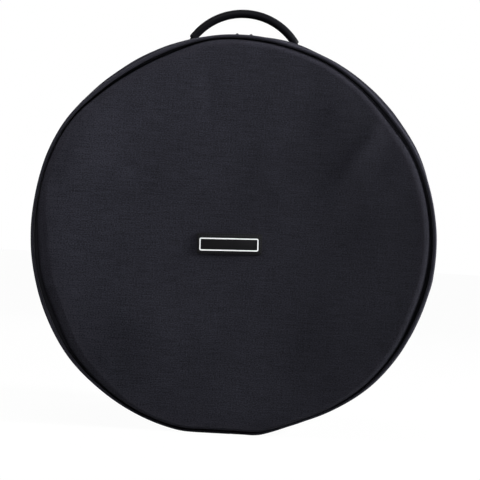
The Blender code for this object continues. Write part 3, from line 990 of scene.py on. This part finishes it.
def hidden_layer(group, piece, node, profile, side, body, material, flat=False):
    """Foam, lining or binding. A flat layer's profile starts and ends on the axis."""
    shape = turned(profile, side, closed=not flat, steps=fine_steps // 2)
    weave = across_weave if flat else round_weave
    sewn(f"{group}_{piece}", shape, material, body, [f"{group}_{node}"], weave)


# Lockstitches: half the length, half the width and half the height of one, their spacing, and how
# far from a wall's hem its rows of them lie
stitch_size = (0.0013, 0.0004, 0.0003)
stitch_pitch = 0.0034
badge_stitch_size = (0.0010, 0.0003, 0.00025)
badge_stitch_pitch = 0.0026
hem_rows = (0.0024, 0.0068)

# The zip: a tooth, one turn of the coil, lies across the tape's edge every tooth_pitch, and the
# hinge strip spans hinge_half_angle to either side of the zip's middle
tooth_pitch = 0.0022
tooth_size = (0.0015, 0.0036, 0.0020)
tooth_bevel = 0.0005
tooth_lift = 0.0010
tooth_reach = 0.0019
tape_near = 0.0010
tape_far = 0.0180

# The foam, drawn in at the edges: a wall's by foam_draws, each a depth and a distance from its
# seam, and a panel's by panel_foam_edge, each a distance from its edge and a height
foam_draws = ((0.0016, 0.0), (0.0008, 0.0060), (0.0, 0.0140))
foam_even = 0.0200
foam_reach = 0.0103
foam_corner = 0.0060
panel_foam_sink = 0.0022
panel_foam_edge = ((0.0020, 0.0050), (gap, 0.0030))
binding_curve = 0.62


def add_stitch(shape, place, size):
    """One lockstitch: a flattened ball of thread."""
    matrix = place @ Matrix.Diagonal((*size, 1.0))
    bmesh.ops.create_icosphere(shape, subdivisions=1, radius=1.0, matrix=matrix)


def stitch_row(name, radius, y, body, thread):
    """A row of lockstitches all round the bag."""
    shape = bmesh.new()
    add_stitch(shape, Matrix.Translation((0, y, -radius)), stitch_size)
    repeated(shape, 0.0, 2 * math.pi, round(2 * math.pi * radius / stitch_pitch))
    settle(shape)
    finish(name, shape, thread, body)


def teeth(name, side, body, coil, nodes):
    """One row of the zip's coil, open over the hinge. The two rows lie half a tooth apart."""
    seat = tape_outer + gap + tooth_lift
    shape = bmesh.new()
    made = bmesh.ops.create_cube(shape, size=1.0)["verts"]
    bmesh.ops.scale(shape, verts=made, vec=tooth_size)
    bevelled(shape, shape.edges[:], "EDGES", tooth_bevel, 1)
    bmesh.ops.translate(shape, verts=shape.verts, vec=(0, zip_y + side * tooth_reach, -seat))
    sweep = 2 * math.pi - 2 * hinge_half_angle
    shift = side * tooth_pitch / 4 / seat
    repeated(shape, hinge_half_angle + shift, sweep, round(sweep * seat / tooth_pitch))
    settle(shape, wanders=False)
    finish(name, shape, coil, body, nodes)


def zip_tape(name, side, body, cloth, nodes):
    """The woven tape of one side of the zip."""
    profile = sheet_outline(
        tape_outer, tape_inner, zip_y + side * tape_near, zip_y + side * tape_far, 8,
    )
    sweep = 2 * math.pi - 2 * tape_end_angle
    shape = turned_arc(profile, tape_end_angle, sweep, fine_steps)
    sewn(name, shape, cloth, body, nodes, wanders=False)


def wall_layers(side, body, hem, looks):
    """The skin, the foam and the lining of a side wall."""
    wall = f"{body}_wall"
    wall_skin(f"{wall}_skin", side, hem, body, looks["cover"], [f"{wall}_cover"])
    foam_seam = flange_low - gap
    foam_hem = hem + lining_thickness + gap
    reach = hem + foam_reach
    foam = [(foam_inner, foam_seam)]
    foam += [(foam_outer - draw, foam_seam - away) for draw, away in foam_draws]
    foam += [(foam_outer, y) for y in spread(foam_seam - foam_even, reach, 8)]
    foam += [(tape_inner - gap, reach), (tape_inner - gap, foam_hem)]
    foam += [(foam_inner, y) for y in spread(foam_hem, foam_seam - foam_corner, 10)]
    hidden_layer(wall, "padding", "foam", foam, side, body, looks["foam"])
    turned_hem = hem + lining_thickness
    end = inner_half + lining_thickness
    lining = [(inner_radius, y) for y in spread(hem, end, 12)]
    lining += [(lining_outer, y) for y in spread(end, turned_hem, 12)]
    lining += [(tape_inner - gap, turned_hem), (tape_inner - gap, hem)]
    hidden_layer(wall, "fleece", "lining", lining, side, body, looks["fleece"])


def panel_layers(side, body, panel, looks):
    """The foam and the lining of a round end, and the binding of its seam inside."""
    low = inner_half + lining_thickness + gap
    sink = cover_thickness + gap + panel_foam_sink
    radii = spread(0.0, foam_inner - foam_corner, 30)
    foam = [(radius, panel_height(radius, 0.0, side) - sink) for radius in radii]
    foam += [(foam_inner - back, low + up) for back, up in panel_foam_edge]
    foam += [(radius, low) for radius in spread(foam_inner - gap, 0.0, 12)]
    hidden_layer(panel, "padding", "foam", foam, side, body, looks["foam"], flat=True)
    edge = inner_radius - gap
    lining = [(radius, inner_half + lining_thickness) for radius in spread(0.0, edge, 20)]
    lining += [(radius, inner_half) for radius in spread(edge, 0.0, 20)]
    hidden_layer(panel, "fleece", "lining", lining, side, body, looks["fleece"], flat=True)
    corner = inner_half - gap
    bend = [math.radians(90.0 * k / 8) for k in range(9)]
    curve = binding_width * binding_curve
    bound = [(edge, corner)]
    bound += [
        (edge - binding_width + curve * math.sin(a), corner - curve * (1 - math.cos(a)))
        for a in bend[:5]
    ]
    bound += [
        (edge - curve * (1 - math.sin(a)), corner - binding_width + curve * math.cos(a))
        for a in bend[4:]
    ]
    hidden_layer(panel, "seam_binding", "binding", bound, side, body, looks["binding"])


def build_round_parts(side, body, panel, looks):
    """The panel, piping, wall, layers and zip half of the lid or of the body."""
    hem = channel_half + side * zip_y
    padded_panel(f"{panel}_panel", side, body, looks["cover"], [f"{panel}_cover"])
    joint = lid_joint_angle if side < 0 else base_joint_angle
    piping(f"{panel}_corded_seam", side, body, looks["seam"], [f"{panel}_piping"], joint)
    seam_flange_painted_shade(f"{panel}_seam_flange_painted_shade", side, body, looks["flange"])
    wall_layers(side, body, hem, looks)
    panel_layers(side, body, panel, looks)
    zip_tape(f"{body}_zip_band", side, body, looks["tape"], [f"{body}_zip_tape"])
    teeth(f"{body}_zip_teeth", side, body, looks["coil"], [f"{body}_zip_coil"])
    for row, away in enumerate(hem_rows):
        name = f"{body}_hem_stitches_{row}"
        stitch_row(name, wall_radius, side * (hem + away), body, looks["thread"])


def hinge_strip(cover):
    """The strip of cover that joins the lid to the body at the bottom."""
    reach = channel_half - gap
    profile = sheet_outline(wall_radius, cover_inner, zip_y - reach, zip_y + reach, 14)
    shape = turned_arc(profile, -hinge_half_angle, 2 * hinge_half_angle, 48)
    piece = sewn("hinge_strip", shape, cover, None, ["hinge_fabric"], wanders=False)
    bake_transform(piece)


def bar_section(shape, centre, along, half_across, half_thick, sides, square):
    """One cross-section of a bar that runs over the top of the bag. Square is 1 when round."""
    forward = Vector((along[0], 0, along[1])).normalized()
    out = forward.cross(Vector((0, 1, 0)))
    points = []
    for k in range(sides):
        turn = 2 * math.pi * k / sides
        wide = math.copysign(abs(math.cos(turn)) ** square, math.cos(turn))
        tall = math.copysign(abs(math.sin(turn)) ** square, math.sin(turn))
        place = Vector((centre[0], 0, centre[1])) + Vector((0, 1, 0)) * (wide * half_across)
        points.append(shape.verts.new(place + out * (tall * half_thick)))
    return [shape.edges.new(pair) for pair in zip(points, points[1:] + points[:1])]


def lofted(shape, sections):
    """Joins the cross-sections of a bar, one to the next."""
    for near, far in zip(sections, sections[1:]):
        bmesh.ops.bridge_loops(shape, edges=near + far)


def arc_point(angle):
    """A point of the grip's centre line and its direction, by the angle from the top."""
    x = handle_arc_radius * math.sin(angle)
    z = handle_arc_height + handle_arc_radius * math.cos(angle)
    return (x, z), (math.cos(angle), -math.sin(angle))


def wall_point(angle, radius):
    """A point of a circle round the drum's axis and its direction, by the angle from the top."""
    place = (radius * math.sin(angle), radius * math.cos(angle))
    return place, (math.cos(angle), -math.sin(angle))


def grip_section_radius(share):
    """The grip's radius, from its middle at 0 to an end at 1 or -1."""
    from_end = (1 - abs(share)) * grip_half_angle * handle_arc_radius
    radius = grip_radius - grip_taper * share ** 2
    radius -= grip_end_round * (1 - min(1.0, from_end / grip_end_round)) ** 2
    return radius - collar_groove * hump(from_end - collar_length, collar_groove_reach)


def handle_grip(rubber):
    """The moulded grip: an arched bar, a little slimmer towards its ends, with end collars."""
    shape = bmesh.new()
    sections = []
    bore = []
    for share in spread(-1.0, 1.0, 97):
        place, along = arc_point(share * grip_half_angle)
        radius = grip_section_radius(share)
        sections.append(bar_section(shape, place, along, radius, radius, grip_sides, 1.0))
        bore.append(bar_section(shape, place, along, grip_bore, grip_bore, grip_sides, 1.0))
    lofted(shape, sections)
    lofted(shape, bore)
    for end in (0, -1):
        bmesh.ops.bridge_loops(shape, edges=sections[end] + bore[end])
    face_outwards(shape)
    finish("handle_moulding", shape, rubber, "handle", ["handle_grip"])


def smooth_bend(start, start_way, end, end_way, share):
    """A point on the bend between two places with given directions."""
    span = math.dist(start, end)
    near, near_slope, far, far_slope = curve_weights(share)
    weights = (near, near_slope * span, far, far_slope * span)
    terms = (start, start_way, end, end_way)
    return tuple(sum(weight * term[i] for weight, term in zip(weights, terms)) for i in (0, 1))


def half_strap():
    """Sections of the strap, from the top of the grip to the end of one tail."""
    radius = wall_radius + strap_seat + strap_half_thick
    sections = []
    for angle in spread(0.0, grip_half_angle, 24):
        place, along = arc_point(angle)
        sections.append((place, along, strap_core, strap_core, 1.0))
    end, heading = arc_point(grip_half_angle)
    land, lying = wall_point(strap_land_angle, radius)
    for share in spread(0.0, 1.0, 16)[1:-1]:
        place = smooth_bend(end, heading, land, lying, share)
        ahead = smooth_bend(end, heading, land, lying, share + strap_look_ahead)
        along = (ahead[0] - place[0], ahead[1] - place[1])
        opened = eased(share, *strap_opens)
        wide = strap_core + (strap_half_width - strap_core) * opened
        thick = strap_core + (strap_half_thick - strap_core) * eased(share, *strap_thins)
        sections.append((place, along, wide, thick, 1.0 - (1.0 - strap_square) * opened))
    for angle in spread(strap_land_angle, strap_end_angle, 12):
        place, along = wall_point(angle, radius)
        sections.append((place, along, strap_half_width, strap_half_thick, strap_square))
    return sections


def handle_strap(band):
    """The webbing inside the grip, whose two tails lie flat on the patches."""
    right = half_strap()
    left = [((-x, z), (dx, -dz), *size) for (x, z), (dx, dz), *size in right[1:]]
    stations = left[::-1] + right
    shape = bmesh.new()
    layer = shape.loops.layers.uv.new("weave")
    loops = [
        bar_section(shape, place, way, wide, thick, strap_sides, square)
        for place, way, wide, thick, square in stations
    ]
    shape.verts.ensure_lookup_table()
    lengths = [0.0]
    for near, far in zip(stations, stations[1:]):
        lengths.append(lengths[-1] + math.dist(near[0], far[0]))
    run = {}
    for k, length in enumerate(lengths):
        for point in shape.verts[k * strap_sides:(k + 1) * strap_sides]:
            run[point] = length
    lofted(shape, loops)
    bmesh.ops.holes_fill(shape, edges=loops[0] + loops[-1], sides=strap_sides)
    for face in shape.faces:
        for loop in face.loops:
            loop[layer].uv = (run[loop.vert], loop.vert.co.y)
    face_outwards(shape)
    piece = finish("handle_webbing", shape, band, None, ["handle_strap"])
    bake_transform(piece)


def bevelled(shape, parts, affect, offset, segments):
    """Rounds off edges or corners."""
    bmesh.ops.bevel(
        shape, geom=parts, offset=offset, offset_type="OFFSET", affect=affect,
        segments=segments, profile=0.5, material=-1,
    )


def rounded_sheet(shape, half_length, half_width, corner, low, segments):
    """A rounded rectangle without thickness, lying flat."""
    place = Matrix.Translation((0, 0, low)) @ Matrix.Diagonal((half_length, half_width, 1.0, 1.0))
    made = bmesh.ops.create_grid(shape, x_segments=1, y_segments=1, size=1.0, matrix=place)
    bevelled(shape, made["verts"], "VERTICES", corner, segments)


def thickened(shape, thickness):
    """Gives a flat sheet its thickness."""
    made = bmesh.ops.extrude_face_region(shape, geom=shape.faces[:])["geom"]
    moved = [item for item in made if isinstance(item, bmesh.types.BMVert)]
    bmesh.ops.translate(shape, verts=moved, vec=(0, 0, thickness))


def flat_patch(shape, half_length, half_width, corner, low, high, cuts):
    """A rounded rectangle lying flat, with thickness, cut so that it can be bent."""
    rounded_sheet(shape, half_length, half_width, corner, low, 5)
    thickened(shape, high - low)
    for x in spread(-half_length, half_length, cuts)[1:-1]:
        bmesh.ops.bisect_plane(
            shape, geom=shape.verts[:] + shape.edges[:] + shape.faces[:], plane_co=(x, 0, 0),
            plane_no=(1, 0, 0),
        )
    face_outwards(shape)


def box_lines(half_length, half_width, crossed):
    """The sides of a box, and its diagonals if it is crossed."""
    corners = [
        (-half_length, -half_width), (half_length, -half_width),
        (half_length, half_width), (-half_length, half_width),
    ]
    lines = list(zip(corners, corners[1:] + corners[:1]))
    if crossed:
        lines += [(corners[0], corners[2]), (corners[1], corners[3])]
    return lines


def stitched_lines(lines, height, pitch=stitch_pitch, size=stitch_size):
    """Lockstitches along straight lines that are drawn flat."""
    shape = bmesh.new()
    for (x0, y0), (x1, y1) in lines:
        count = max(1, round(math.hypot(x1 - x0, y1 - y0) / pitch))
        turn = Matrix.Rotation(math.atan2(y1 - y0, x1 - x0), 4, "Z")
        for k in range(count):
            share = (k + 0.5) / count
            spot = Matrix.Translation((x0 + (x1 - x0) * share, y0 + (y1 - y0) * share, height))
            add_stitch(shape, spot @ turn, size)
    return shape


def handle_patches(cover, band, thread):
    """The patches under the strap's tails, and the webbing inside that spreads the pull."""
    half_length = patch_half_angle * wall_radius
    for side, word in ((-1, "left"), (1, "right")):
        middle = side * patch_angle * wall_radius
        shape = bmesh.new()
        flat_patch(shape, half_length, patch_half_width, patch_corner, gap, patch_top, 16)
        wrapped(shape, middle)
        lay_weave(shape)
        finish(f"handle_patch_cloth_{word}", shape, cover, "body", [f"handle_patch_{word}"])
        inset = patch_stitch_inset
        edge = box_lines(half_length - inset, patch_half_width - inset, False)
        shape = stitched_lines(edge, patch_top)
        wrapped(shape, middle)
        finish(f"patch_stitches_{word}", shape, thread, "body")
        shape = stitched_lines(box_lines(*tail_box, True), strap_seat + 2 * strap_half_thick)
        wrapped(shape, side * tail_box_angle * wall_radius)
        finish(f"strap_stitches_{word}", shape, thread, "body")
    shape = bmesh.new()
    half_length = backing_half_angle * wall_radius
    high = inner_radius - gap - wall_radius
    low = high - backing_thickness
    flat_patch(shape, half_length, backing_half_width, backing_corner, low, high, 60)
    wrapped(shape, 0.0)
    lay_weave(shape)
    finish("handle_backing_band", shape, band, "body", ["handle_backing"])


def badge_block(stand, half_length, half_width, corner, low, high):
    """A rounded plate of the badge, standing on the lid, with a soft upper edge."""
    shape = bmesh.new()
    flat_patch(shape, half_length, half_width, corner, low, high, 2)
    edges = [
        edge for edge in shape.edges
        if all(point.co.z > (low + high) / 2 for point in edge.verts)
        and edge.calc_face_angle(0.0) > badge_edge_angle
    ]
    bevelled(shape, edges, "EDGES", badge_bevel, 2)
    move(shape, stand)
    return shape


def badge_line(stand, half_length, half_width, corner, width, low, high):
    """A raised line that runs round the badge's field."""
    shape = bmesh.new()
    rounded_sheet(shape, half_length, half_width, corner, low, 6)
    field = shape.faces[:]
    bmesh.ops.inset_region(
        shape, faces=field, use_boundary=True, use_even_offset=True, thickness=width, depth=0.0,
    )
    bmesh.ops.delete(shape, geom=field, context="FACES")
    thickened(shape, high - low)
    face_outwards(shape)
    move(shape, stand)
    return shape


def badge(rubber, rim, thread):
    """A sewn-on rubber badge: a raised pale line round an empty grained field."""
    seat = panel_height(0.0, 0.0, -1) + gap
    lean = Matrix.Rotation(badge_lean, 4, "Y")
    place = Matrix.Translation((badge_across, -seat, badge_up))
    stand = place @ lean @ Matrix.Rotation(math.pi / 2, 4, "X")
    finish("badge_plate", badge_block(stand, *badge_plate), rubber, "lid", ["badge"])
    finish("badge_field", badge_block(stand, *badge_field), rubber, "lid")
    low = stand @ Matrix.Translation(badge_line_shift)
    finish("badge_pale_line", badge_line(low, *badge_frame), rim, "lid")
    lines = box_lines(*badge_seam, False)
    stitches = stitched_lines(lines, badge_plate_top, badge_stitch_pitch, badge_stitch_size)
    move(stitches, stand)
    finish("badge_stitches", stitches, thread, "lid")


def paint_metal(metal):
    """Gives the frame's own sliders and pull tabs their finish."""
    for node in ("slider_left", "slider_right", "pull_tab_left", "pull_tab_right"):
        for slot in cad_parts[node].material_slots:
            slot.material = metal.material


def pale_floor():
    """A plain floor that looks nearly white, and gives back less light than it seems to."""
    shape = bmesh.new()
    bmesh.ops.create_grid(shape, x_segments=1, y_segments=1, size=20.0)
    floor = linked("floor", shape)
    pale = Finish("pale floor", "floor", (0.4, 0.4, 0.4), 0.8)
    marks = pale.grain(pale.place(), 3.0, 3.0)
    pale.shade(0.97 + marks * 0.06)
    white = pale.node("Emission", None, {"Color": (1.0, 1.0, 1.0, 1.0), "Strength": 1.0})
    shown = pale.node("MixShader", None, {
        0: pale.looked_at() * 0.97, 1: pale.shader.outputs["BSDF"], 2: white.outputs["Emission"],
    })
    pale.join(shown.outputs["Shader"], pale.tree.nodes["Material Output"].inputs["Surface"])
    floor.data.materials.append(pale.material)


def white_distance():
    """A world that looks white and lights the bag only faintly."""
    world = bpy.data.worlds.new("white studio")
    world.use_nodes = True
    world.node_tree.nodes.clear()
    sky = Network(world.node_tree)
    glow = sky.node("Background", None, {"Color": (1.0, 1.0, 1.0, 1.0), "Strength": 0.04})
    white = sky.node("Background", None, {"Color": (1.0, 1.0, 1.0, 1.0), "Strength": 1.0})
    mixed = sky.node("MixShader", None, {
        0: sky.looked_at(), 1: glow.outputs["Background"], 2: white.outputs["Background"],
    })
    sky.node("OutputWorld", None, {"Surface": mixed.outputs["Shader"]})
    bpy.context.scene.world = world


def lamp(name, place, aim, size, power):
    """A square lamp that faces a point."""
    light = bpy.data.lights.new(name, "AREA")
    light.shape = "RECTANGLE"
    light.size = size
    light.size_y = size
    light.energy = power
    held = bpy.data.objects.new(name, light)
    held.location = place
    held.rotation_mode = "QUATERNION"
    held.rotation_quaternion = (Vector(aim) - Vector(place)).to_track_quat("-Z", "Y")
    bpy.context.scene.collection.objects.link(held)


def camera():
    """Square on to the lid from 2.6 m, turned so that the handle leans a little to the right."""
    distance = 2.6
    picture_pixels = 480
    metres_a_pixel = 0.001124
    pixels_right = 7.25
    pixels_down = 4.4
    lens = bpy.data.cameras.new("camera")
    lens.sensor_width = 36.0
    lens.lens = distance / metres_a_pixel / picture_pixels * lens.sensor_width
    held = bpy.data.objects.new("camera", lens)
    right = Vector((math.cos(view_roll), 0, math.sin(view_roll)))
    up = Vector((-math.sin(view_roll), 0, math.cos(view_roll)))
    back = Vector((0, -1, 0))
    place = Vector((0, -piping_y - distance, axis_height))
    place += (right * pixels_right - up * pixels_down) * metres_a_pixel
    turn = Matrix((right, up, back)).transposed().to_4x4()
    held.matrix_world = Matrix.Translation(place) @ turn
    bpy.context.scene.collection.objects.link(held)
    bpy.context.scene.camera = held


def bag_looks():
    """The finishes of the bag's cloths, foam, thread and zip."""
    soft = {"Specular IOR Level": 0.005, "Sheen Weight": 0.002, "Sheen Roughness": 0.5}
    diagonal = math.radians(45.0)
    return {
        # The cover's colour slope across X is painted light and shade.
        "cover": woven_cloth(
            "charcoal nylon", "cover", (0.0125, 0.0124, 0.0163), 0.0008, 0.62, streak=1.28,
            painted_light_slope=1.4, constants=soft,
        ),
        # The piping's cloth is a paler copy of the cover's cloth, painted light on the raised cord.
        "seam": woven_cloth(
            "piping cloth painted pale", "piping", (0.0170, 0.0169, 0.0222), 0.0006, 0.5, bias=diagonal,
            streak=0.4, constants=soft,
        ),
        # The flange's cloth is a darker copy of the cover's cloth, painted shade in the groove.
        "flange": woven_cloth(
            "seam flange painted shade cloth", "piping", (0.0105, 0.0105, 0.0129), 0.0006, 0.7, streak=0.3,
            constants=soft,
        ),
        "tape": woven_cloth(
            "zip tape", "zip_tape", (0.010, 0.010, 0.012), 0.0006, 0.75, bias=diagonal,
            constants=soft,
        ),
        "binding": webbing_finish("seam binding", "webbing", (0.013, 0.013, 0.015), 0.0010),
        "foam": foam_finish(),
        "fleece": fleece_finish(),
        "thread": thread_finish(),
        "coil": coil_finish(),
    }


def build():
    looks = bag_looks()
    build_round_parts(-1, "lid", "lid", looks)
    build_round_parts(1, "body", "base", looks)
    hinge_strip(looks["cover"])
    handle_grip(rubber_finish("grip rubber", (0.0020, 0.0020, 0.0028), 0.5, gloss=0.028))
    band = webbing_finish("black webbing", "webbing", (0.0065, 0.0065, 0.0075), 0.0014)
    handle_strap(band)
    handle_patches(looks["cover"], band, looks["thread"])
    badge_rubber = rubber_finish("badge rubber", (0.0050, 0.0050, 0.0056), 0.5)
    rim_rubber = rubber_finish("badge line", (0.62, 0.63, 0.64), 0.5)
    badge(badge_rubber, rim_rubber, looks["thread"])
    paint_metal(metal_finish())
    pale_floor()
    white_distance()
    lamp("front lamp", place=(-0.25, -0.62, 0.95), aim=(0, -0.2, 0.3), size=0.4, power=9.7)
    lamp("right lamp", place=(2.6, -0.5, 1.3), aim=(0, -0.2, 0.25), size=0.8, power=370.0)
    lamp("back lamp", place=(-0.5, 2.4, 1.7), aim=(0, 0.1, 0.3), size=1.6, power=45.0)
    camera()


build()
bpy.context.scene.view_settings.view_transform = "Standard"
